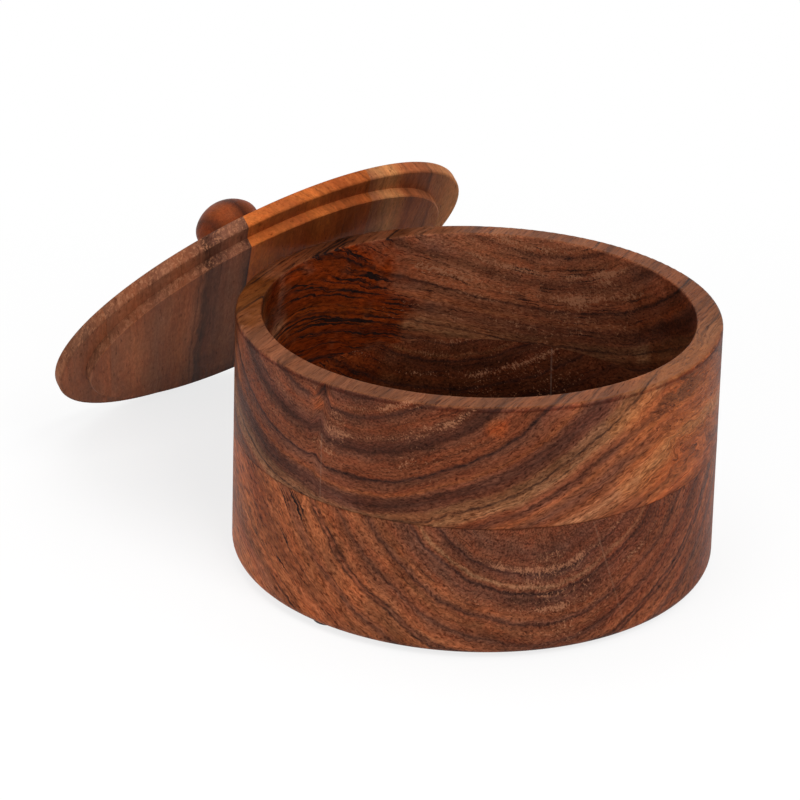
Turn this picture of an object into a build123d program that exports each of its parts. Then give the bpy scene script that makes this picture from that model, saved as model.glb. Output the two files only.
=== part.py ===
from build123d import *
import os
from math import cos, radians, sin, sqrt

# A turned wooden canister with its lid off. The body is two thick layers of wood, glued one
# on the other, turned outside and hollowed straight down. The lid is a disc of edge-glued
# boards with a raised boss under it that drops into the mouth, and a ball knob on top.
# The lid leans on the rim with its lower edge on the ground.
# Millimetres, +Z up, origin at the centre of the wooden base, on the body's axis.

os.makedirs("parts", exist_ok=True)

# Body
rim_radius = 100.0
base_flare = 2.0
body_height = 105.5
seam_height = 55.0
wall_thickness = 10.7
floor_thickness = 11.0
rim_outer_rounding = 1.4
rim_inner_rounding = 1.0
base_edge_rounding = 4.2
inner_corner_radius = 8.0

# Lid
lid_overhang = 1.0
lid_thickness = 5.8
boss_height = 4.3
boss_clearance = 1.3
lid_top_rounding = 1.5
lid_under_rounding = 1.2
boss_edge_bevel = 0.5
edge_facets = 4

# Boards of the lid, as glue lines measured across the boards from the lid's centre
right_glue_line = -46.0
middle_glue_line = 12.5
left_glue_line = 77.6

# How the lid leans: tilt from level, heading of the lean from +X, shift along the rim, and
# turn of the boards from the line of steepest slope
lean_tilt = 45.7
lean_heading = 133.9
lean_side_shift = 1.3
board_turn = -25.7
lean_clearance = 0.3
ground_clearance = 0.1

# Knob: ball on a waisted neck with a small collar, and the dowel that holds it
knob_radius = 15.1
knob_half_height = 11.5
knob_centre_height = 29.5
knob_side_radius = 8.5
knob_neck_radius = 9.0
knob_neck_curve = 18.0
knob_collar_radius = 12.0
knob_collar_rounding = 0.8
dowel_radius = 5.0
dowel_glue_gap = 0.05
dowel_depth_in_lid = 7.5
dowel_depth_in_knob = 14.0
dowel_end_gap = 0.5
dowel_chamfer = 0.6

# Rubber feet
foot_count = 3
foot_radius = 6.5
foot_height = 2.0
foot_edge_rounding = 0.6
foot_inset = 10.7
foot_first_heading = 232.0

# Sizes that follow from the ones above
bore_radius = rim_radius - wall_thickness
base_radius = rim_radius + base_flare
seam_outer_radius = base_radius - base_flare * seam_height / body_height
lid_radius = rim_radius + lid_overhang
boss_radius = bore_radius - boss_clearance
foot_circle_radius = base_radius - foot_inset

# Directions of the leaning lid: up through its knob, down its slope, and level across it
tilt = radians(lean_tilt)
heading = radians(lean_heading)
lid_up = Vector(sin(tilt) * cos(heading), sin(tilt) * sin(heading), cos(tilt))
down_slope = Vector(cos(tilt) * cos(heading), cos(tilt) * sin(heading), -sin(tilt))
level_across = Vector(-sin(heading), cos(heading), 0)
along_boards = down_slope * cos(radians(board_turn)) + level_across * sin(radians(board_turn))

# The boss face touches the rounded outer edge of the rim, less the clearance, and the
# eased lower edge of the lid stands on the plane of the feet, less its own clearance.
edge_reach = rim_outer_rounding + lean_clearance
touch_radius = rim_radius - rim_outer_rounding + edge_reach * sin(tilt)
touch_height = body_height - rim_outer_rounding + edge_reach * cos(tilt)
touch_point = Vector(touch_radius * cos(heading), touch_radius * sin(heading), touch_height)
lowest_edge = ground_clearance - foot_height
lid_centre_height = (
    lowest_edge
    + (lid_radius - lid_under_rounding) * sin(tilt)
    + lid_under_rounding * (1 - cos(tilt))
)
slope_run = (touch_height + boss_height * cos(tilt) - lid_centre_height) / sin(tilt)
lid_centre = (
    touch_point
    + lid_up * boss_height
    + down_slope * slope_run
    + level_across * lean_side_shift
)

# The lid's own plane lies on the ring around its boss, with X along the boards; its profile
# plane holds the turning axis, with X outward and Y up through the knob.
lid_plane = Plane(origin=lid_centre, x_dir=along_boards, z_dir=lid_up)
lid_profile_plane = Plane(origin=lid_centre, x_dir=along_boards, z_dir=along_boards.cross(lid_up))
lid_axis = Axis(lid_centre, lid_up)
lid_top_plane = lid_plane.offset(lid_thickness)

# Upper layer of the body: the wall and the rim
with BuildPart() as body_upper_ring:
    with BuildSketch(Plane.XZ):
        with BuildLine():
            FilletPolyline(
                (seam_outer_radius, seam_height),
                (rim_radius, body_height),
                (bore_radius, body_height),
                (bore_radius, seam_height),
                radius=[rim_outer_rounding, rim_inner_rounding],
            )
            Line((bore_radius, seam_height), (seam_outer_radius, seam_height))
        make_face()
    revolve(axis=Axis.Z)
body_upper_ring.part.label = "body_upper_ring"
export_step(body_upper_ring.part, "parts/body_upper_ring.step")

# Lower layer of the body: the rest of the wall, and the floor
with BuildPart() as body_base:
    with BuildSketch(Plane.XZ):
        with BuildLine():
            FilletPolyline(
                (0, 0),
                (base_radius, 0),
                (seam_outer_radius, seam_height),
                radius=[base_edge_rounding],
            )
            Line((seam_outer_radius, seam_height), (bore_radius, seam_height))
            FilletPolyline(
                (bore_radius, seam_height),
                (bore_radius, floor_thickness),
                (0, floor_thickness),
                radius=[inner_corner_radius],
            )
            Line((0, floor_thickness), (0, 0))
        make_face()
    revolve(axis=Axis.Z)
body_base.part.label = "body_base"
export_step(body_base.part, "parts/body_base.step")

# Rubber feet, evenly round the base
for foot_number in range(1, foot_count + 1):
    foot_heading = radians(foot_first_heading + 360 / foot_count * (foot_number - 1))
    with BuildPart() as foot:
        with BuildSketch(Plane.XY):
            with Locations((foot_circle_radius * cos(foot_heading), foot_circle_radius * sin(foot_heading))):
                Circle(foot_radius)
        extrude(amount=-foot_height)
        fillet(foot.edges().group_by(Axis.Z)[0], foot_edge_rounding)
    foot.part.label = f"foot_{foot_number}"
    export_step(foot.part, f"parts/foot_{foot_number}.step")

# Turned section of the lid, from the middle of its boss round to the middle of its top. The
# two outer edges are eased in facets that follow a rounding.
facet_turn = 90 / edge_facets
under_edge = [
    (
        lid_radius - lid_under_rounding + lid_under_rounding * sin(radians(facet_turn * facet)),
        lid_under_rounding - lid_under_rounding * cos(radians(facet_turn * facet)),
    )
    for facet in range(edge_facets + 1)
]
top_edge = [
    (
        lid_radius - lid_top_rounding + lid_top_rounding * cos(radians(facet_turn * facet)),
        lid_thickness - lid_top_rounding + lid_top_rounding * sin(radians(facet_turn * facet)),
    )
    for facet in range(edge_facets + 1)
]
lid_section = [
    (0, -boss_height),
    (boss_radius - boss_edge_bevel, -boss_height),
    (boss_radius, -boss_height + boss_edge_bevel),
    (boss_radius, 0),
    *under_edge,
    *top_edge,
    (0, lid_thickness),
]

# Boards of the lid: the turned disc, cut at the glue lines
board_edges = [-lid_radius, right_glue_line, middle_glue_line, left_glue_line, lid_radius]
for board_number in range(1, len(board_edges)):
    board_start = board_edges[board_number - 1]
    board_width = board_edges[board_number] - board_start
    with BuildPart() as board:
        with BuildSketch(lid_profile_plane):
            with BuildLine():
                Polyline(*lid_section, close=True)
            make_face()
        revolve(axis=lid_axis)
        with BuildSketch(lid_top_plane):
            Circle(dowel_radius + dowel_glue_gap)
        extrude(amount=-dowel_depth_in_lid, mode=Mode.SUBTRACT)
        with BuildSketch(lid_plane):
            with Locations((0, board_start + board_width / 2)):
                Rectangle(2 * lid_radius, board_width)
        extrude(amount=lid_thickness + boss_height, both=True, mode=Mode.INTERSECT)
    board.part.label = f"lid_board_{board_number}"
    export_step(board.part, f"parts/lid_board_{board_number}.step")

# Knob: a cap arc and a side arc make the flattened ball, and a hollow arc makes the neck
side_centre_x = knob_radius - knob_side_radius
ball_height = lid_thickness + knob_centre_height
cap_rise = knob_half_height - knob_side_radius
cap_radius = (side_centre_x**2 + knob_half_height**2 - knob_side_radius**2) / (2 * cap_rise)
cap_centre_y = ball_height + knob_half_height - cap_radius
cap_share = cap_radius / (cap_radius - knob_side_radius)
cap_meets_side = (side_centre_x * cap_share, cap_centre_y + (ball_height - cap_centre_y) * cap_share)
neck_centre_x = knob_neck_radius + knob_neck_curve
neck_reach = knob_side_radius + knob_neck_curve
neck_centre_y = ball_height - sqrt(neck_reach**2 - (neck_centre_x - side_centre_x) ** 2)
neck_share = knob_side_radius / neck_reach
side_meets_neck = (
    side_centre_x + (neck_centre_x - side_centre_x) * neck_share,
    ball_height + (neck_centre_y - ball_height) * neck_share,
)
collar_top = neck_centre_y - sqrt(knob_neck_curve**2 - (neck_centre_x - knob_collar_radius) ** 2)

with BuildPart() as knob:
    with BuildSketch(lid_profile_plane):
        with BuildLine():
            Line((0, lid_thickness), (knob_collar_radius, lid_thickness))
            Line((knob_collar_radius, lid_thickness), (knob_collar_radius, collar_top))
            ThreePointArc(
                (knob_collar_radius, collar_top),
                (knob_neck_radius, neck_centre_y),
                side_meets_neck,
            )
            ThreePointArc(side_meets_neck, (knob_radius, ball_height), cap_meets_side)
            RadiusArc(cap_meets_side, (0, ball_height + knob_half_height), -cap_radius)
            Line((0, ball_height + knob_half_height), (0, lid_thickness))
        make_face()
    revolve(axis=lid_axis)
    collar_edges = knob.edges().filter_by(
        lambda edge: edge.geom_type == GeomType.CIRCLE and abs(edge.radius - knob_collar_radius) < 0.01
    )
    fillet(collar_edges.sort_by(lid_axis)[-1], knob_collar_rounding)
    with BuildSketch(lid_top_plane):
        Circle(dowel_radius + dowel_glue_gap)
    extrude(amount=dowel_depth_in_knob, mode=Mode.SUBTRACT)
knob.part.label = "knob"
export_step(knob.part, "parts/knob.step")

# Dowel between the lid and the knob
with BuildPart() as knob_dowel:
    with BuildSketch(lid_top_plane.offset(dowel_end_gap - dowel_depth_in_lid)):
        Circle(dowel_radius)
    extrude(amount=dowel_depth_in_lid + dowel_depth_in_knob - 2 * dowel_end_gap)
    chamfer(knob_dowel.edges().filter_by(GeomType.CIRCLE), dowel_chamfer)
knob_dowel.part.label = "knob_dowel"
export_step(knob_dowel.part, "parts/knob_dowel.step")
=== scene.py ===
import bpy
from math import cos, radians, sin
from mathutils import Matrix, Vector

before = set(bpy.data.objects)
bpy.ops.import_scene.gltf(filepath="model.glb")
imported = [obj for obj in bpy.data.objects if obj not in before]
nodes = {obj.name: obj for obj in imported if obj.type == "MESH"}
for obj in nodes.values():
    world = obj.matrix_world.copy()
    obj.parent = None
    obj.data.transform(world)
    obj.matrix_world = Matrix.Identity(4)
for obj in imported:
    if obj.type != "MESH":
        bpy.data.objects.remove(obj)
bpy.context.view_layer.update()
print("frame loaded:", len(nodes), "nodes")

mm = 0.001  # metres in a millimetre
perMetre = 1000.0  # millimetres in a metre
white = (1, 1, 1, 1)
noiseSpan = (0.3, 0.7)  # nearly all of a noise lies between these
noiseMiddle = 0.5

# Camera, standing where the photograph was taken from
cameraLook = {
    "place": (0.0, -0.98950, 0.50332),
    "pitchDown": 23.9635,
    "yaw": 1.8323,
    "roll": 1.2428,
    "lens": 116.643,
    "sensor": 36.0,
    "clipStart": 0.05,
}


def makeCamera(look):
    data = bpy.data.cameras.new("camera")
    data.lens = look["lens"]
    data.sensor_width = look["sensor"]
    data.clip_start = look["clipStart"]
    camera = bpy.data.objects.new("camera", data)
    bpy.context.scene.collection.objects.link(camera)
    turn = Matrix.Rotation(radians(look["yaw"]), 3, "Z")
    tip = Matrix.Rotation(radians(90 - look["pitchDown"]), 3, "X")
    lean = Matrix.Rotation(radians(look["roll"]), 3, "Z")
    camera.matrix_world = Matrix.Translation(look["place"]) @ (turn @ tip @ lean).to_4x4()
    bpy.context.scene.camera = camera


makeCamera(cameraLook)
bpy.context.scene.view_settings.view_transform = "Standard"
print("camera placed")


# Helpers that write node trees: inputs are given by name or as i0, i1 ... by number
def put(tree, kind, settings=None, **inputs):
    node = tree.nodes.new("ShaderNode" + kind)
    for name, value in (settings or {}).items():
        setattr(node, name, value)
    for name, value in inputs.items():
        byNumber = name[0] == "i" and name[1:].isdigit()
        socket = node.inputs[int(name[1:]) if byNumber else name.replace("_", " ")]
        if isinstance(value, bpy.types.NodeSocket):
            tree.links.new(value, socket)
        else:
            socket.default_value = value
    return node


def putGroup(tree, group, **inputs):
    return put(tree, "Group", {"node_tree": group}, **inputs).outputs


def calc(tree, operation, a, b=0.0, clamp=False):
    settings = {"operation": operation, "use_clamp": clamp}
    return put(tree, "Math", settings, i0=a, i1=b).outputs[0]


def spread(tree, value, fromLow, fromHigh, toLow=0.0, toHigh=1.0, smooth=False):
    settings = {"interpolation_type": "SMOOTHSTEP"} if smooth else {}
    ends = {"i1": fromLow, "i2": fromHigh, "i3": toLow, "i4": toHigh}
    return put(tree, "MapRange", settings, i0=value, **ends).outputs[0]


def mixColour(tree, kind, share, a, b):
    settings = {"data_type": "RGBA", "blend_type": kind}
    return put(tree, "Mix", settings, i0=share, i6=a, i7=b).outputs[2]


def splitUp(tree, vector):
    return put(tree, "SeparateXYZ", None, i0=vector).outputs


def joinUp(tree, x, y, z):
    return put(tree, "CombineXYZ", None, i0=x, i1=y, i2=z).outputs[0]


def measure(tree, operation, **vectors):
    return put(tree, "VectorMath", {"operation": operation}, **vectors).outputs["Value"]


def scaled(tree, vector, amount):
    return put(tree, "VectorMath", {"operation": "SCALE"}, i0=vector, Scale=amount).outputs[0]


def stretched(tree, vector, stretch):
    return put(tree, "VectorMath", {"operation": "MULTIPLY"}, i0=vector, i1=stretch).outputs[0]


def noise(tree, vector, detail=2.0, roughness=0.5):
    texture = put(tree, "TexNoise", None, Vector=vector, Scale=1.0, Detail=detail,
                  Roughness=roughness)
    return texture.outputs[0]


# Noise drawn out by a stretch, given with its detail and roughness
def drawnNoise(tree, place, shape):
    stretch, detail, roughness = shape
    return noise(tree, stretched(tree, place, stretch), detail, roughness)


# 1 where a value is above an edge that falls as the amount grows
def aboveEdge(tree, value, amount, edge):
    start, fall, softness = edge
    low = calc(tree, "SUBTRACT", start, calc(tree, "MULTIPLY", amount, fall))
    return spread(tree, value, low, calc(tree, "ADD", low, softness))


def startGroup(name, inputs, outputs):
    tree = bpy.data.node_groups.new(name, "ShaderNodeTree")
    for socketName, kind, value in inputs:
        socketType = "NodeSocket" + kind
        socket = tree.interface.new_socket(socketName, in_out="INPUT", socket_type=socketType)
        if value is not None:
            socket.default_value = value
    for socketName, kind in outputs:
        tree.interface.new_socket(socketName, in_out="OUTPUT", socket_type="NodeSocket" + kind)
    given = tree.nodes.new("NodeGroupInput").outputs
    return tree, given, tree.nodes.new("NodeGroupOutput").inputs


# Growth rings: distance of a point from the pith of its tree, in millimetres, with the wander
# that real rings have and one fold where the bark once grew in
ringShape = {
    # stretch and detail of each noise, and how far it moves a ring
    "wanders": [
        ((0.010, 0.032, 0.032), 1.0, 7.0),
        ((0.03, 0.13, 0.13), 2.0, 3.4),
        ((0.10, 0.6, 0.6), 2.0, 2.0),
    ],
    "foldEdge": 0.45,
    "arcRadius": 60.0,
}


def buildRingGroup(shape):
    tree, given, result = startGroup(
        "growthRings",
        [("Place", "Vector", None), ("Flattening", "Float", 1.0), ("Wander", "Float", 1.0),
         ("Fold Place", "Float", 0.0), ("Fold Lean", "Float", 0.0), ("Fold Height", "Float", 0.0),
         ("Fold Width", "Float", 4.0), ("Fold Drop", "Float", 0.0)],
        [("Ring", "Float"), ("Ring Place", "Vector")],
    )
    along, across, up = splitUp(tree, given["Place"])
    wander = None
    for stretch, detail, reach in shape["wanders"]:
        stray = noise(tree, stretched(tree, given["Place"], stretch), detail)
        stray = calc(tree, "MULTIPLY", calc(tree, "SUBTRACT", stray, noiseMiddle), reach)
        wander = stray if wander is None else calc(tree, "ADD", wander, stray)
    wander = calc(tree, "MULTIPLY", wander, given["Wander"])
    tall = calc(tree, "MULTIPLY", up, given["Flattening"])
    radius = measure(tree, "LENGTH", i0=joinUp(tree, 0.0, across, tall))
    # The fold is a ridge on one line across the rings, with a step down past it
    foldLine = calc(tree, "MULTIPLY", up, given["Fold Lean"])
    foldLine = calc(tree, "ADD", given["Fold Place"], foldLine)
    aside = calc(tree, "SUBTRACT", across, foldLine)
    aside = calc(tree, "DIVIDE", aside, given["Fold Width"])
    fold = calc(tree, "SUBTRACT", 1.0, calc(tree, "ABSOLUTE", aside), clamp=True)
    fold = calc(tree, "MULTIPLY", fold, given["Fold Height"])
    beyond = spread(tree, aside, shape["foldEdge"], -shape["foldEdge"], smooth=True)
    drop = calc(tree, "MULTIPLY", beyond, given["Fold Drop"])
    ring = calc(tree, "ADD", calc(tree, "ADD", radius, wander), fold)
    ring = calc(tree, "SUBTRACT", ring, drop)
    arc = calc(tree, "MULTIPLY", calc(tree, "ARCTAN2", across, tall), shape["arcRadius"])
    tree.links.new(ring, result["Ring"])
    tree.links.new(joinUp(tree, along, arc, ring), result["Ring Place"])
    return tree


# Fine grain: streaks, fibre, broken dark veins, dark pores and pale flecks, laid along the
# rings. A noise is (stretch along the grain, round the rings and across them), detail and
# roughness; an edge is where it starts, its fall with the amount, and its softness.
grainShape = {
    "streak": ((0.006, 0.026, 0.50), 3.0, 0.75),
    "fibre": ((0.10, 0.62, 0.95), 3.0, 0.85),
    "grit": ((0.22, 0.85, 1.15), 1.0, 0.5),
    "darkestTone": 0.2,
    "lightSpan": (0.0, 0.5, 0.0, 0.5),
    "lightTint": (1.0, 1.18, 1.25, 1),
    "thin": ((0.008, 0.045, 1.05), 2.0, 0.6),
    "thinEdge": (0.60, 0.045, 0.09),
    "broken": ((0.014, 0.10, 0.16), 3.0, 0.6),
    "brokenEdge": (0.44, 0.05, 0.2),
    "ragged": ((0.05, 0.45, 0.9), 2.0, 0.7),
    "veinRagged": (0.25, 0.60, 0.25, 1.15),
    "veinBroken": (0.30, 0.50, 0.45, 1.0),
    "pore": ((0.10, 0.75, 1.25), 2.0, 0.7),
    "poreEdge": (0.68, 0.20, 0.16),
    "poreTint": (0.42, 0.34, 0.32, 1),
    "fleck": ((0.12, 1.05, 0.75), 2.0, 0.85),
    "fleckEdge": (0.78, 0.32, 0.13),
    "fleckShare": 0.68,
    "fleckColour": (0.37, 0.155, 0.080, 1),
    "veinColour": (0.016, 0.008, 0.007, 1),
    "fibreHeight": 0.5,
    "roughness": 0.44,
    "fleckRoughness": 0.22,
    "fibreRoughness": 0.06,
    "darkSmoothness": 0.08,
}


def buildGrainGroup(shape):
    tree, given, result = startGroup(
        "fineGrain",
        [("Colour", "Color", None), ("Ring Place", "Vector", None), ("Vein", "Float", 0.0),
         ("Streaks", "Float", 0.2), ("Lines", "Float", 0.5), ("Fibre", "Float", 0.3),
         ("Flecks", "Float", 0.0), ("Pores", "Float", 0.5),
         ("Fleck Colour", "Color", shape["fleckColour"]),
         ("Vein Colour", "Color", shape["veinColour"])],
        [("Colour", "Color"), ("Height", "Float"), ("Roughness", "Float")],
    )

    def drawn(name):
        return drawnNoise(tree, given["Ring Place"], shape[name])

    def share(value, name):
        return calc(tree, "MULTIPLY", value, shape[name])

    streak = spread(tree, drawn("streak"), *noiseSpan, -1.0, 1.0)
    fibre = spread(tree, drawn("fibre"), *noiseSpan, -1.0, 1.0)
    grit = spread(tree, drawn("grit"), *noiseSpan, -1.0, 1.0)
    speckle = calc(tree, "MULTIPLY", calc(tree, "ADD", fibre, grit), given["Fibre"])
    tone = calc(tree, "ADD", calc(tree, "MULTIPLY", streak, given["Streaks"]), speckle)
    tone = calc(tree, "MAXIMUM", calc(tree, "ADD", 1.0, tone), shape["darkestTone"])
    colour = scaled(tree, given["Colour"], tone)
    # Light specks lean to tan
    light = spread(tree, speckle, *shape["lightSpan"])
    colour = mixColour(tree, "MULTIPLY", light, colour, shape["lightTint"])
    # Fine dark lines between the rings, and the named veins, both fading in and out
    broken = drawn("broken")
    thin = aboveEdge(tree, drawn("thin"), given["Lines"], shape["thinEdge"])
    unbroken = aboveEdge(tree, broken, given["Lines"], shape["brokenEdge"])
    thin = calc(tree, "MULTIPLY", thin, unbroken)
    thin = calc(tree, "MULTIPLY", thin, given["Lines"], clamp=True)
    ragged = spread(tree, drawn("ragged"), *shape["veinRagged"])
    fading = spread(tree, broken, *shape["veinBroken"])
    vein = calc(tree, "MULTIPLY", given["Vein"], ragged)
    vein = calc(tree, "MULTIPLY", vein, fading, clamp=True)
    dark = calc(tree, "MAXIMUM", vein, thin)
    colour = mixColour(tree, "MIX", dark, colour, given["Vein Colour"])
    # Pores and flecks
    pores = aboveEdge(tree, drawn("pore"), given["Pores"], shape["poreEdge"])
    colour = mixColour(tree, "MULTIPLY", pores, colour, shape["poreTint"])
    flecks = aboveEdge(tree, drawn("fleck"), given["Flecks"], shape["fleckEdge"])
    colour = mixColour(tree, "MIX", share(flecks, "fleckShare"), colour, given["Fleck Colour"])
    height = calc(tree, "SUBTRACT", share(fibre, "fibreHeight"), pores)
    rough = calc(tree, "ADD", shape["roughness"], share(flecks, "fleckRoughness"))
    rough = calc(tree, "ADD", rough, share(fibre, "fibreRoughness"))
    rough = calc(tree, "SUBTRACT", rough, share(dark, "darkSmoothness"))
    tree.links.new(colour, result["Colour"])
    tree.links.new(height, result["Height"])
    tree.links.new(rough, result["Roughness"])
    return tree


# Local patch: 1 inside a ball about a point, falling to 0 with an uneven edge. The fade is in
# shares of the radius.
patchShape = {"fade": (0.45, 1.15)}


def buildPatchGroup(shape):
    tree, given, result = startGroup(
        "woodPatch",
        [("Point", "Vector", None), ("Centre", "Vector", None), ("Radius", "Float", 20.0),
         ("Unevenness", "Float", 0.0)],
        [("Amount", "Float")],
    )
    inMm = scaled(tree, given["Point"], perMetre)
    away = measure(tree, "DISTANCE", i0=inMm, i1=given["Centre"])
    away = calc(tree, "ADD", calc(tree, "DIVIDE", away, given["Radius"]), given["Unevenness"])
    amount = spread(tree, away, *shape["fade"], 1.0, 0.0, smooth=True)
    tree.links.new(amount, result["Amount"])
    return tree


# Scratch: 1 along a straight line from a start, in millimetres, broken up along its way. The
# fade is in shares of the width.
scratchShape = {
    "fade": (0.5, 1.3),
    "breakScale": 0.35,
    "breakNoise": (2.0, 0.7),  # detail and roughness
    "breaks": (0.30, 0.55, 0.2, 1.0),
}


def buildScratchGroup(shape):
    tree, given, result = startGroup(
        "woodScratch",
        [("Point", "Vector", None), ("Start", "Vector", None), ("Run", "Vector", None),
         ("Width", "Float", 0.4)],
        [("Amount", "Float")],
    )
    run = given["Run"]
    inMm = scaled(tree, given["Point"], perMetre)
    difference = {"operation": "SUBTRACT"}
    offset = put(tree, "VectorMath", difference, i0=inMm, i1=given["Start"]).outputs[0]
    along = measure(tree, "DOT_PRODUCT", i0=offset, i1=run)
    length = measure(tree, "DOT_PRODUCT", i0=run, i1=run)
    nearest = scaled(tree, run, calc(tree, "DIVIDE", along, length, clamp=True))
    aside = measure(tree, "DISTANCE", i0=offset, i1=nearest)
    aside = calc(tree, "DIVIDE", aside, given["Width"])
    breaks = noise(tree, scaled(tree, inMm, shape["breakScale"]), *shape["breakNoise"])
    breaks = spread(tree, breaks, *shape["breaks"])
    line = spread(tree, aside, *shape["fade"], 1.0, 0.0)
    tree.links.new(calc(tree, "MULTIPLY", line, breaks), result["Amount"])
    return tree


ringGroup = buildRingGroup(ringShape)
grainGroup = buildGrainGroup(grainShape)
patchGroup = buildPatchGroup(patchShape)
scratchGroup = buildScratchGroup(scratchShape)

# Tones of the wood, from dark to light, used by the ring bands of every piece
tones = {
    "umber": (0.070, 0.022, 0.013),
    "plum": (0.100, 0.033, 0.020),
    "brown": (0.148, 0.047, 0.025),
    "russet": (0.185, 0.050, 0.022),
    "olive": (0.205, 0.078, 0.036),
    "rust": (0.255, 0.072, 0.028),
    "tan": (0.275, 0.108, 0.048),
    "orange": (0.370, 0.112, 0.036),
}


# Colours set at distances, with even changes between them
def makeRamp(tree, value, stops):
    low = stops[0][0]
    high = stops[-1][0]
    ramp = put(tree, "ValToRGB", None, i0=spread(tree, value, low, high))
    elements = ramp.color_ramp.elements
    elements.remove(elements[-1])
    for number, (distance, colour) in enumerate(stops):
        place = (distance - low) / (high - low)
        element = elements[0] if number == 0 else elements.new(place)
        element.position = place
        element.color = (*colour, 1)
    return ramp.outputs[0]


# Peaks at distances, each with a reach to both sides and an amount
def amountRamp(tree, value, marks):
    leastStep = 0.01
    stops = []
    for distance, reach, amount in sorted(marks):
        for side, level in ((-reach, 0.0), (0.0, amount), (reach, 0.0)):
            place = distance + side
            if not stops or place > stops[-1][0] + leastStep:
                stops.append((place, (level, level, level)))
    return makeRamp(tree, value, stops)


def addPatches(tree, spot, patches):
    total = None
    for centre, radius, amount in patches:
        patch = putGroup(tree, patchGroup, Point=spot["point"], Unevenness=spot["uneven"],
                         Centre=centre, Radius=radius)[0]
        patch = calc(tree, "MULTIPLY", patch, amount)
        total = patch if total is None else calc(tree, "ADD", total, patch)
    return total


def addShades(tree, spot, colour, shades):
    for centre, radius, amount, shade in shades:
        mask = addPatches(tree, spot, [(centre, radius, amount)])
        colour = mixColour(tree, "MULTIPLY", mask, colour, (*shade, 1))
    return colour


# Noises, spans and tints that every piece of wood shares
woodShape = {
    "unevenScale": 0.06,
    "unevenNoise": (3.0, 0.6),  # detail and roughness
    "uneven": (-0.35, 0.35),
    "cloud": ((0.014, 0.055, 0.13), 4.0, 0.65),
    "redder": ((0.02, 0.09, 0.22), 3.0, 0.7),
    "redderSpan": (0.42, 0.66),
    "redderTint": (1.18, 0.80, 0.66, 1),
    "fleckPlaces": ((0.02, 0.05, 0.14), 3.0, 0.65),
    "fleckSpan": (0.45, 0.68),
    "fleckBandSpan": (0.35, 0.55, 0.35, 1.0),
    "foldFade": 30,
    "boreEdge": (0.0915, 0.0900),  # in metres; other lengths are in millimetres
    "rimEdge": (99.4, 100.2),
    "bossRadius": 88.0,
    "bossEdge": (0.25, 0.45),
    "bossPlane": 0.05,
    "endFlecks": 0.88,
    "topFade": 0.3,
    "topFibre": 0.4,
    "lineCore": 0.4,
}


# Where a point is in the object, in the tree that its wood came from, and above the base
def findSpot(tree, look):
    point = put(tree, "TexCoord").outputs["Object"]
    local = put(tree, "Mapping", {"vector_type": "TEXTURE"}, Vector=point,
                Location=[v * mm for v in look["pith"]], Rotation=look["turn"],
                Scale=(mm, mm, mm)).outputs[0]
    along, across, up = splitUp(tree, local)
    uneven = scaled(tree, local, woodShape["unevenScale"])
    uneven = noise(tree, uneven, *woodShape["unevenNoise"])
    x, y, z = splitUp(tree, point)
    return {
        "point": point,
        "local": local,
        "along": along,
        "across": across,
        "up": up,
        "uneven": spread(tree, uneven, *noiseSpan, *woodShape["uneven"]),
        "x": x,
        "y": y,
        "height": calc(tree, "MULTIPLY", z, perMetre),
    }


def addRings(tree, look, spot):
    wander = look["wander"]
    if look["curly"]:
        wander = calc(tree, "ADD", wander, addPatches(tree, spot, look["curly"]))
    fold = look["fold"]
    inFront = spread(tree, spot["along"], fold["front"], fold["front"] + woodShape["foldFade"],
                     1.0, 0.0)
    foldHeight = calc(tree, "ADD", spot["up"], -fold["start"])
    foldHeight = calc(tree, "MULTIPLY", foldHeight, fold["gain"])
    foldHeight = calc(tree, "MAXIMUM", foldHeight, 0.0)
    foldHeight = calc(tree, "MULTIPLY", foldHeight, inFront)
    foldDrop = calc(tree, "MULTIPLY", inFront, fold["drop"])
    rings = putGroup(tree, ringGroup, Place=spot["local"], Flattening=look["flattening"],
                     Wander=wander, Fold_Place=fold["place"], Fold_Lean=fold["lean"],
                     Fold_Width=fold["width"], Fold_Height=foldHeight, Fold_Drop=foldDrop)
    return rings["Ring"], rings["Ring Place"]


# Ring bands, calmer in places, then broad changes: side to side (on the body partly painted
# light), cloudy, and redder
def addBands(tree, look, spot, ring, ringPlace):
    stops = [(distance, tones[tone]) for distance, tone in look["bands"]]
    colour = makeRamp(tree, ring, stops)
    if look["calm"]:
        calm = addPatches(tree, spot, look["calm"])
        colour = mixColour(tree, "MIX", calm, colour, (*tones[look["calmTone"]], 1))
    # Side to side: on the body partly painted light, lightening the side that the lamps leave
    # darker; elsewhere an even tone
    side = spread(tree, spot["across"], *look["sideSpan"], smooth=True)
    tintLow, tintHigh = look["sideToneAndLight"]
    tint = mixColour(tree, "MIX", side, (*tintLow, 1), (*tintHigh, 1))
    colour = mixColour(tree, "MULTIPLY", 1.0, colour, tint)
    cloud = drawnNoise(tree, ringPlace, woodShape["cloud"])
    cloud = spread(tree, cloud, *noiseSpan, 1 - look["cloud"], 1 + look["cloud"])
    colour = scaled(tree, colour, cloud)
    redder = drawnNoise(tree, ringPlace, woodShape["redder"])
    redder = spread(tree, redder, *woodShape["redderSpan"], 0.0, look["redder"])
    return mixColour(tree, "MULTIPLY", redder, colour, woodShape["redderTint"])


def addFlecks(tree, look, spot, ring, ringPlace):
    places = drawnNoise(tree, ringPlace, woodShape["fleckPlaces"])
    flecks = spread(tree, places, *woodShape["fleckSpan"], 0.0, look["flecks"])
    if look["fleckBands"]:
        bands = amountRamp(tree, ring, look["fleckBands"])
        within = spread(tree, places, *woodShape["fleckBandSpan"])
        flecks = calc(tree, "ADD", flecks, calc(tree, "MULTIPLY", bands, within))
    if look["fleckPatches"]:
        flecks = calc(tree, "ADD", flecks, addPatches(tree, spot, look["fleckPatches"]))
    return flecks


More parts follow.
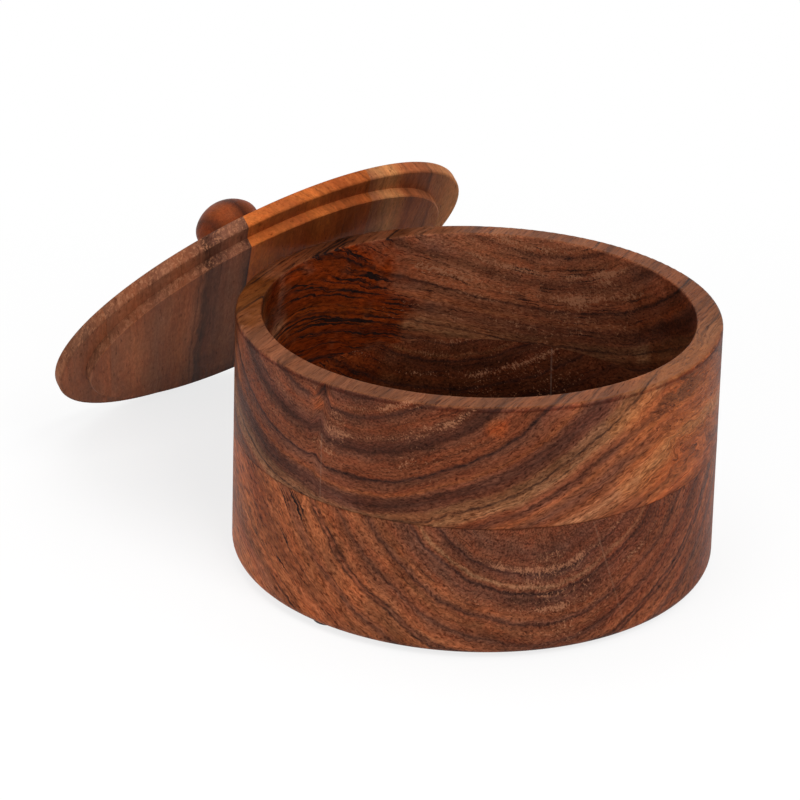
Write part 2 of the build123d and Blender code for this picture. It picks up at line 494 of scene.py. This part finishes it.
# End grain on the turned edges of a lid board: the lid's rim and the rim of its boss
def findEndGrain(tree, spot, across, rise):
    sideways = calc(tree, "ADD", spot["across"], across)
    reach = measure(tree, "LENGTH", i0=joinUp(tree, spot["along"], sideways, 0.0))
    rim = spread(tree, reach, *woodShape["rimEdge"])
    boss = calc(tree, "SUBTRACT", reach, woodShape["bossRadius"])
    boss = spread(tree, calc(tree, "ABSOLUTE", boss), *woodShape["bossEdge"], 1.0, 0.0)
    plane = woodShape["bossPlane"]
    below = spread(tree, calc(tree, "ADD", spot["up"], rise), -plane, plane, 1.0, 0.0)
    return calc(tree, "MAXIMUM", rim, calc(tree, "MULTIPLY", boss, below))


def makeWood(name, look):
    material = bpy.data.materials.new(name)
    material.use_nodes = True
    tree = material.node_tree
    tree.nodes.clear()
    shader = put(tree, "BsdfPrincipled")
    shader.inputs["IOR"].default_value = look["ior"]
    shader.inputs["Specular IOR Level"].default_value = look["shine"]
    tree.links.new(shader.outputs[0], put(tree, "OutputMaterial").inputs["Surface"])
    spot = findSpot(tree, look)
    ring, ringPlace = addRings(tree, look, spot)
    colour = addBands(tree, look, spot, ring, ringPlace)
    colour = addShades(tree, spot, colour, look["shades"])
    flecks = addFlecks(tree, look, spot, ring, ringPlace)
    inside = 0.0
    # Painted shade inside the bore: the ramp darkens the inner walls towards the bottom, and its
    # gain lightens them a little near the top
    if look["insidePaintedShade"]:
        outward = measure(tree, "LENGTH", i0=joinUp(tree, spot["x"], spot["y"], 0.0))
        inside = spread(tree, outward, *woodShape["boreEdge"])
        paintedDepthShade = makeRamp(tree, spot["height"], look["insidePaintedShade"])
        paintedDepthShade = scaled(tree, paintedDepthShade, look["insidePaintedShadeGain"])
        colour = mixColour(tree, "MULTIPLY", inside, colour, paintedDepthShade)
    if look["endGrain"]:
        across, rise, shade = look["endGrain"]
        edge = findEndGrain(tree, spot, across, rise)
        colour = mixColour(tree, "MULTIPLY", edge, colour, (*shade, 1))
        edgeFlecks = calc(tree, "MULTIPLY", edge, woodShape["endFlecks"])
        flecks = calc(tree, "MAXIMUM", flecks, edgeFlecks)
    fibre = look["fibre"]
    # The rim's top face is mixed towards a lighter colour: partly the wood's own tone there,
    # partly painted light from above
    if look["topFaceToneAndLight"]:
        start, amount, shade = look["topFaceToneAndLight"]
        face = (start, start + woodShape["topFade"])
        fibre = spread(tree, spot["height"], *face, fibre, fibre * woodShape["topFibre"])
        share = spread(tree, spot["height"], *face, 0.0, amount)
        colour = mixColour(tree, "MIX", share, colour, (*shade, 1))
    colour = addShades(tree, spot, colour, look["lateShades"])
    # Dark lines round the body at given heights: the joint line between the layers is real, and
    # the line at the rim's edge is painted shade of its rounding
    for lineHeight, reach, shade in look["rimShadeAndJointLines"]:
        off = calc(tree, "ABSOLUTE", calc(tree, "SUBTRACT", spot["height"], lineHeight))
        line = spread(tree, off, reach * woodShape["lineCore"], reach, 1.0, 0.0)
        line = calc(tree, "SUBTRACT", line, inside, clamp=True)
        colour = mixColour(tree, "MULTIPLY", line, colour, (*shade, 1))
    vein = amountRamp(tree, ring, look["veins"]) if look["veins"] else 0.0
    lines = look["lines"]
    if look["streaky"]:
        lines = calc(tree, "ADD", lines, addPatches(tree, spot, look["streaky"]))
    grain = putGroup(tree, grainGroup, Colour=colour, Ring_Place=ringPlace, Vein=vein,
                     Streaks=look["streaks"], Lines=lines, Fibre=fibre, Flecks=flecks,
                     Pores=look["pores"])
    colour = grain["Colour"]
    for start, end, amount, shade in look["scratches"]:
        run = tuple(b - a for a, b in zip(start, end))
        mark = putGroup(tree, scratchGroup, Point=spot["point"], Start=start, Run=run)[0]
        mark = calc(tree, "MULTIPLY", mark, amount)
        colour = mixColour(tree, "MIX", mark, colour, (*shade, 1))
    tree.links.new(colour, shader.inputs["Base Color"])
    tree.links.new(grain["Roughness"], shader.inputs["Roughness"])
    bump = put(tree, "Bump", None, Strength=look["bump"], Distance=look["bumpHeight"],
               Height=grain["Height"])
    tree.links.new(bump.outputs[0], shader.inputs["Normal"])
    return material


def dress(names, material):
    for name in names:
        for slot in nodes[name].material_slots:
            slot.material = material


# What a look holds. Ring distances are from the pith, places and heights are in the object,
# and all are in millimetres:
#   bands (distance, tone); veins and fleckBands (distance, reach, amount)
#   curly, streaky, calm and fleckPatches (centre, radius, amount); shades and lateShades also a
#   tint, some of them wood marks, others painted shade and painted light
#   rimShadeAndJointLines (height, reach, tint): dark joint lines, and painted shade along the
#   rim's edge; insidePaintedShade (height, tint): painted shade inside the bore, darker towards
#   the bottom; scratches (start, end, amount, colour); topFaceToneAndLight (height, amount,
#   colour): the rim's top, partly its own tone and partly painted light
#   endGrain (the pith's place across the boards and its height, both from the lid's centre,
#   and a tint)
#   fold: its place across the rings and its lean with height, its width, the height where it
#   starts and its gain above that, the drop of the rings past it, and how far along the grain
#   it is whole
plainWood = {
    "flattening": 1.0,
    "wander": 1.0,
    "fold": {"place": 0.0, "lean": 0.0, "width": 4.0, "start": 0.0, "gain": 0.0, "drop": 0.0,
             "front": -200.0},
    "sideSpan": (-100, 100),
    "sideToneAndLight": ((1.0, 1.0, 1.0), (1.0, 1.0, 1.0)),
    "cloud": 0.22,
    "redder": 0.45,
    "streaks": 0.22,
    "lines": 0.6,
    "fibre": 0.30,
    "pores": 0.75,
    "flecks": 0.35,
    "fleckBands": [],
    "fleckPatches": [],
    "veins": [],
    "curly": [],
    "streaky": [],
    "shades": [],
    "lateShades": [],
    "scratches": [],
    "calm": [],
    "calmTone": "brown",
    "rimShadeAndJointLines": [],
    "insidePaintedShade": [],
    "insidePaintedShadeGain": 1.15,
    "topFaceToneAndLight": None,
    "endGrain": None,
    "ior": 1.45,
    "shine": 0.035,
    "bump": 0.4,
    "bumpHeight": 0.0002,
}

# Upper layer of the body
upperLook = {
    **plainWood,
    "pith": (-9.49, 4.25, 135.8),
    "turn": (0, radians(-0.3), radians(65.9)),
    "flattening": 1.32,
    "wander": 0.75,
    "fold": {"place": 4.9, "lean": -0.135, "width": 4.2, "start": -75.8, "gain": 0.185,
             "drop": 1.25, "front": -60.0},
    "bands": [
        (30, "brown"), (38, "plum"), (44, "brown"), (48, "russet"), (51, "plum"), (54, "brown"),
        (58, "russet"), (63, "brown"), (66, "plum"), (70, "umber"), (72.5, "brown"),
        (76, "russet"), (82.5, "russet"), (84.8, "plum"), (87, "brown"), (91, "russet"),
        (92.5, "rust"), (94, "brown"), (97, "plum"), (99.5, "plum"), (102, "brown"),
        (104, "olive"), (107.3, "olive"), (111, "tan"), (114, "russet"), (117.5, "brown"),
        (120, "rust"), (124, "brown"), (128, "rust"), (134, "tan"), (140, "rust"),
        (146, "russet"),
    ],
    "veins": [
        (41, 1.5, 0.35), (50.8, 1.6, 0.5), (69, 2.2, 0.35), (84.4, 1.2, 0.95),
        (96.2, 1.3, 0.4), (98.6, 1.0, 0.3), (107.3, 1.0, 0.8), (116.1, 1.3, 0.5),
        (126.5, 1.6, 0.3), (145, 2.2, 0.4),
    ],
    "fleckBands": [(47, 3.5, 0.68), (62.5, 3.5, 0.62), (77, 3.5, 0.45)],
    "fleckPatches": [
        ((12, 88, 85), 55, 0.46), ((62, 62, 72), 34, 0.36), ((-54, -84, 88), 9, 0.7),
        ((-57, -82, 76), 9, 0.5), ((-20, -98, 90), 22, 0.35),
    ],
    "curly": [((86, -46, 96), 32, 4.0), ((-88, 0, 80), 28, 1.4), ((-60, 66, 75), 50, 0.3)],
    "calm": [((20, 92, 75), 85, 0.5), ((-72, 50, 70), 45, 0.5), ((80, -60, 85), 40, 0.35)],
    "calmTone": "rust",
    # painted shade along the rim's rounded edge, and the real joint line between the layers
    "rimShadeAndJointLines": [(104.1, 0.8, (0.62, 0.50, 0.48)), (55.0, 0.45, (0.6, 0.55, 0.5))],
    "streaky": [
        ((-66, 58, 72), 58, 0.95), ((-100, -20, 75), 26, 0.5), ((36, 82, 66), 52, 0.55),
    ],
    "lines": 0.58,
    "streaks": 0.28,
    "cloud": 0.26,
    "shades": [
        # painted shade and painted interreflection on the bore's left wall, partly the wood's own
        # deeper tone
        ((-70, 58, 78), 55, 1.0, (0.63, 0.29, 0.10)),  # inside, left
        # painted shade on the bore's right wall, away from the key lamp
        ((86, 20, 80), 48, 1.0, (0.58, 0.45, 0.38)),  # inside, right
        # painted shade of the lid's shadow on the rim's left, partly the wood's own tone
        ((-98, 6, 106), 34, 0.9, (0.62, 0.56, 0.44)),  # under the rim, left
        # painted shade on the bore's back right wall
        ((46, 76, 70), 40, 0.7, (0.68, 0.68, 0.74)),  # inside, back right
        ((-58, -81, 103), 5, 0.9, (0.36, 0.33, 0.33)),  # dark mark over the fold
        ((-61, -80, 97), 4, 0.8, (1.9, 1.6, 1.2)),  # light mark in the fold
        ((9, -100, 98), 5, 0.8, (1.9, 1.5, 1.0)),  # orange notch under the rim
        ((-8, -100, 82), 52, 0.85, (0.75, 0.70, 0.62)),  # outside, front
        # partly the wood's lighter tone, partly painted sheen on the grazing right side
        ((84, -56, 84), 46, 0.9, (1.36, 1.28, 1.00)),  # outside, far right
        ((-88, -48, 64), 36, 0.7, (0.68, 0.64, 0.62)),  # outside, front left
    ],
    # painted shade of the lid's shadow on the rim's left, partly the wood's own tone
    "lateShades": [((-97, 4, 116), 34, 0.9, (0.70, 0.58, 0.30))],  # rim, left
    "scratches": [
        ((-58.8, -80.9, 84), (-59.3, -81.2, 57), 0.5, (0.34, 0.19, 0.13)),
        ((-59.6, -80.4, 66), (-60.2, -80.5, 50), 0.35, (0.34, 0.19, 0.13)),
    ],
    "sideSpan": (-40, 70),
    # side to side, partly painted light on the side away from the key lamp
    "sideToneAndLight": ((0.98, 1.05, 1.10), (1.07, 1.22, 1.34)),
    # painted shade inside: dark low in the bore, a little lighter near the rim
    "insidePaintedShade": [
        (20, (0.2, 0.17, 0.15)), (45, (0.45, 0.42, 0.38)), (62, (0.68, 0.68, 0.64)),
        (80, (0.92, 0.94, 0.92)), (104, (0.98, 1.0, 1.0)),
    ],
    # rim top: partly its own tone, partly painted light from above
    "topFaceToneAndLight": (105.0, 0.55, (0.236, 0.084, 0.034)),
}

# Lower layer of the body
lowerLook = {
    **plainWood,
    "pith": (5.29, 1.08, 88.3),
    "turn": (0, radians(-5.3), radians(101.5)),
    "flattening": 1.06,
    "wander": 0.75,
    "bands": [
        (30, "russet"), (36, "brown"), (42, "russet"), (45, "brown"), (46.5, "plum"),
        (48, "brown"), (51, "russet"), (52.4, "tan"), (53.8, "russet"), (55.5, "plum"),
        (57, "brown"), (59.5, "brown"), (62.5, "russet"), (66, "rust"), (68.7, "brown"),
        (70, "russet"), (73, "rust"), (77, "russet"), (79, "brown"), (81, "russet"),
        (85, "rust"), (87.6, "brown"), (90, "rust"), (95, "rust"), (98, "brown"),
        (102, "rust"), (110, "russet"), (118, "rust"), (126, "brown"), (132, "rust"),
    ],
    "veins": [
        (38.5, 1.2, 0.3), (46, 1.0, 0.6), (55.4, 1.2, 0.7), (58, 1.0, 0.4), (69.4, 1.1, 0.7),
        (78.4, 1.2, 0.5), (86.6, 0.9, 0.9), (88.7, 0.9, 0.85), (98, 1.6, 0.5),
    ],
    "fleckBands": [(44.4, 2.4, 0.5), (62.6, 2.4, 0.55), (52, 1.6, 0.25)],
    "fleckPatches": [
        ((45, -90, 36), 34, 0.30), ((20, 88, 40), 60, 0.42), ((25, -98, 20), 30, 0.34),
    ],
    "calm": [((20, 92, 40), 85, 0.55), ((-60, -80, 30), 45, 0.3), ((72, -66, 36), 36, 0.6)],
    "calmTone": "russet",
    # painted shade inside: very dark at the bottom of the bore
    "insidePaintedShade": [
        (10, (0.12, 0.10, 0.08)), (30, (0.20, 0.17, 0.14)), (45, (0.36, 0.32, 0.27)),
        (60, (0.62, 0.58, 0.52)),
    ],
    "lines": 0.52,
    "streaks": 0.26,
    "cloud": 0.30,
    "pores": 0.85,
    "rimShadeAndJointLines": [(55.0, 0.45, (0.6, 0.55, 0.5))],
    "streaky": [((-70, -66, 30), 36, 0.6), ((-70, 50, 40), 44, 1.0)],
    "shades": [
        ((-51, -86, 37), 2.6, 0.8, (0.34, 0.32, 0.32)),  # dark marks, front left
        ((-54, -84, 41), 2.2, 0.7, (0.4, 0.38, 0.38)),
        # painted shade and painted interreflection on the bore's left wall, partly the wood's own
        # deeper tone
        ((-72, 52, 40), 50, 0.9, (0.8, 0.5, 0.3)),  # inside, left
        ((0, -100, 25), 62, 0.7, (0.54, 0.62, 0.74)),  # outside, front
    ],
    "scratches": [
        ((47.4, -89.3, 54), (61.4, -81.5, 8), 0.2, (0.36, 0.18, 0.11)),
        ((33.2, 82.9, 54), (33.9, 82.6, 24), 0.35, (0.20, 0.13, 0.10)),
    ],
    "sideSpan": (-50, 60),
    # side to side, partly painted light on the side away from the key lamp
    "sideToneAndLight": ((0.88, 0.93, 1.02), (1.38, 1.48, 1.40)),
}

dress(["body_upper_ring"], makeWood("upperLayerWood", upperLook))
dress(["body_base"], makeWood("lowerLayerWood", lowerLook))
print("body dressed")

# Lid: how it leans, so that each board's tree can be placed along its boards
lidLean = {
    "tilt": 45.7,
    "heading": 133.9,
    "boardTurn": -25.7,
    "centre": (-98.27, 100.24, 69.89),
}


def lidAxes(lean):
    tilt = radians(lean["tilt"])
    heading = radians(lean["heading"])
    turn = radians(lean["boardTurn"])
    up = Vector((sin(tilt) * cos(heading), sin(tilt) * sin(heading), cos(tilt)))
    down = Vector((cos(tilt) * cos(heading), cos(tilt) * sin(heading), -sin(tilt)))
    level = Vector((-sin(heading), cos(heading), 0))
    along = down * cos(turn) + level * sin(turn)
    return Matrix((along, up.cross(along), up)).transposed()


lidFrame = lidAxes(lidLean)


def inLid(along, across, height):
    return tuple(Vector(lidLean["centre"]) + lidFrame @ Vector((along, across, height)))


lidWood = {
    **plainWood,
    "turn": tuple(lidFrame.to_euler()),
    "wander": 0.8,
    "streaks": 0.16,
    "flecks": 0.08,
    "sideToneAndLight": ((1.9, 2.30, 2.30), (1.9, 2.30, 2.30)),
    "lines": 0.35,
    "pores": 0.45,
    "fibre": 0.13,
    "redder": 0.30,
    "shine": 0.005,
}

boardLooks = {
    "lid_board_1": {
        "pith": inLid(0, 30, -30),
        "bands": [
            (74, "orange"), (82, "brown"), (92, "tan"), (100, "russet"), (112, "brown"),
            (135, "tan"),
        ],
        "veins": [
            (88, 1.2, 0.35), (94, 1.0, 0.3), (101, 1.4, 0.45), (107, 1.0, 0.3),
            (113, 1.3, 0.5),
        ],
        "sideToneAndLight": ((2.00, 2.15, 1.75), (2.00, 2.15, 1.75)),
    },
    "lid_board_2": {
        "pith": inLid(0, 60, -55),
        "bands": [
            (60, "orange"), (75, "orange"), (88, "rust"), (95, "orange"), (108, "rust"),
            (140, "orange"),
        ],
        "veins": [(118, 1.5, 0.4)],
        "pores": 0.35,
        "sideToneAndLight": ((1.3, 1.12, 0.78), (1.3, 1.12, 0.78)),
    },
    "lid_board_3": {
        "pith": inLid(0, -90, -30),
        "endGrain": (-90, -30, (0.66, 0.68, 0.72)),
        "fleckPatches": [(inLid(60, 40, 0), 60, 0.5)],
        "shades": [
            (inLid(88, 17, 0), 14, 0.9, (0.45, 0.45, 0.5)),
            (inLid(0, 40, 0), 70, 0.7, (1.3, 1.4, 1.4)),
        ],
        "bands": [
            (100, "umber"), (106, "plum"), (112, "brown"), (121, "plum"), (124, "umber"),
            (128, "brown"), (136, "russet"), (148, "brown"), (158, "russet"), (172, "brown"),
        ],
        "veins": [(105, 3.0, 0.7), (126, 2.6, 0.75), (129, 1.2, 0.5)],
    },
    "lid_board_4": {
        "pith": inLid(0, -60, -60),
        "endGrain": (-60, -60, (0.64, 0.70, 0.76)),
        "bands": [(140, "brown"), (150, "russet"), (160, "brown"), (175, "russet")],
    },
}

for boardName, ownLook in boardLooks.items():
    dress([boardName], makeWood(boardName + "Wood", {**lidWood, **ownLook}))
print("lid dressed")

# Knob, turned from a darker and redder piece
knobLook = {
    **lidWood,
    "pith": inLid(0, 26, 28),
    "bands": [
        (0, "umber"), (12, "rust"), (16, "russet"), (19, "plum"), (23, "rust"), (28, "rust"),
        (33, "umber"), (38, "rust"), (46, "russet"),
    ],
    "pores": 0.3,
    "fibre": 0.12,
    "flecks": 0.0,
    "sideToneAndLight": ((0.85, 0.68, 0.48), (0.85, 0.68, 0.48)),
    "shine": 0.06,
}
dress(["knob"], makeWood("knobWood", knobLook))

# Dowel, plain pale wood hidden in the joint
dowelLook = {
    **lidWood,
    "pith": inLid(0, 0, -30),
    "bands": [(0, "tan"), (30, "tan"), (60, "olive")],
    "sideToneAndLight": ((1.6, 2.2, 2.6), (1.6, 2.2, 2.6)),
}
dress(["knob_dowel"], makeWood("dowelWood", dowelLook))

# Rubber feet
rubberLook = {
    "colour": (0.018, 0.018, 0.019, 1),
    "dust": (0.07, 0.06, 0.055, 1),
    "dustScale": 260.0,
    "dustDetail": 2.0,
    "dustSpan": (0.5, 0.75, 0.0, 0.35),
    "gritScale": 900.0,
    "gritDetail": 3.0,
    "roughness": (0.6, 0.85),
    "bump": 0.3,
    "bumpHeight": 0.0001,
}


def makeRubber(look):
    material = bpy.data.materials.new("footRubber")
    material.use_nodes = True
    tree = material.node_tree
    shader = tree.nodes["Principled BSDF"]
    point = put(tree, "TexCoord").outputs["Object"]
    grit = noise(tree, scaled(tree, point, look["gritScale"]), look["gritDetail"])
    dust = noise(tree, scaled(tree, point, look["dustScale"]), look["dustDetail"])
    dusty = spread(tree, dust, *look["dustSpan"])
    colour = mixColour(tree, "MIX", dusty, look["colour"], look["dust"])
    roughness = spread(tree, grit, *noiseSpan, *look["roughness"])
    tree.links.new(colour, shader.inputs["Base Color"])
    tree.links.new(roughness, shader.inputs["Roughness"])
    bump = put(tree, "Bump", None, Strength=look["bump"], Distance=look["bumpHeight"],
               Height=grit)
    tree.links.new(bump.outputs[0], shader.inputs["Normal"])
    return material


dress(["foot_1", "foot_2", "foot_3"], makeRubber(rubberLook))
print("knob, dowel and feet dressed")

# Studio: white surroundings, white paper floor that keeps a faint shadow near the object, and
# soft lamps
studioLook = {
    "worldStrength": 0.40,
    "floorHeight": -0.002,
    "floorHalf": 4.0,
    "floorColour": (0.7, 0.7, 0.7, 1),
    "floorShadowShare": 0.22,
    "floorFade": (0.20, 0.50),
    "lampAim": (0, 0, 0.05),
    "lamps": [
        {"name": "keyLamp", "place": (0.7, -1.1, 1.5), "size": 0.9, "power": 23.0},
        {"name": "topLamp", "place": (-0.2, 0.3, 1.6), "size": 1.2, "power": 6.0},
        {"name": "fillLamp", "place": (-1.0, -1.3, 0.55), "size": 1.0, "power": 8.0},
    ],
}


# 1 for rays that show the background itself: seen by the camera, in gloss or through glass
def seenBackground(tree):
    rays = put(tree, "LightPath").outputs
    seen = calc(tree, "MAXIMUM", rays["Is Camera Ray"], rays["Is Glossy Ray"])
    return calc(tree, "MAXIMUM", seen, rays["Is Transmission Ray"])


def makeSky(look):
    world = bpy.data.worlds.new("studioWorld")
    bpy.context.scene.world = world
    world.use_nodes = True
    tree = world.node_tree
    tree.nodes.clear()
    strength = spread(tree, seenBackground(tree), 0.0, 1.0, look["worldStrength"], 1.0)
    sky = put(tree, "Background", None, Color=white, Strength=strength)
    tree.links.new(sky.outputs[0], put(tree, "OutputWorld").inputs["Surface"])


def makePaper(look):
    material = bpy.data.materials.new("floorPaper")
    material.use_nodes = True
    tree = material.node_tree
    tree.nodes.clear()
    seen = seenBackground(tree)
    colour = mixColour(tree, "MIX", seen, look["floorColour"], white)
    paper = put(tree, "BsdfDiffuse", None, Color=colour)
    glow = put(tree, "Emission", None, Color=white, Strength=1.0)
    away = measure(tree, "LENGTH", i0=put(tree, "TexCoord").outputs["Object"])
    shadowShare = spread(tree, away, *look["floorFade"], look["floorShadowShare"], 0.0,
                         smooth=True)
    share = calc(tree, "MULTIPLY", seen, calc(tree, "SUBTRACT", 1.0, shadowShare))
    mix = put(tree, "MixShader", None, i0=share, i1=paper.outputs[0], i2=glow.outputs[0])
    tree.links.new(mix.outputs[0], put(tree, "OutputMaterial").inputs["Surface"])
    return material


def makeFloor(look):
    half = look["floorHalf"]
    mesh = bpy.data.meshes.new("floor")
    corners = [(-half, -half), (half, -half), (half, half), (-half, half)]
    mesh.from_pydata([(x, y, look["floorHeight"]) for x, y in corners], [], [(0, 1, 2, 3)])
    mesh.materials.append(makePaper(look))
    floor = bpy.data.objects.new("floor", mesh)
    bpy.context.scene.collection.objects.link(floor)


def makeLamps(look):
    for lamp in look["lamps"]:
        data = bpy.data.lights.new(lamp["name"], "AREA")
        data.energy = lamp["power"]
        data.size = lamp["size"]
        item = bpy.data.objects.new(lamp["name"], data)
        bpy.context.scene.collection.objects.link(item)
        item.location = lamp["place"]
        aim = Vector(look["lampAim"]) - Vector(lamp["place"])
        item.rotation_euler = aim.to_track_quat("-Z", "Y").to_euler()


makeSky(studioLook)
makeFloor(studioLook)
makeLamps(studioLook)
print("studio ready")
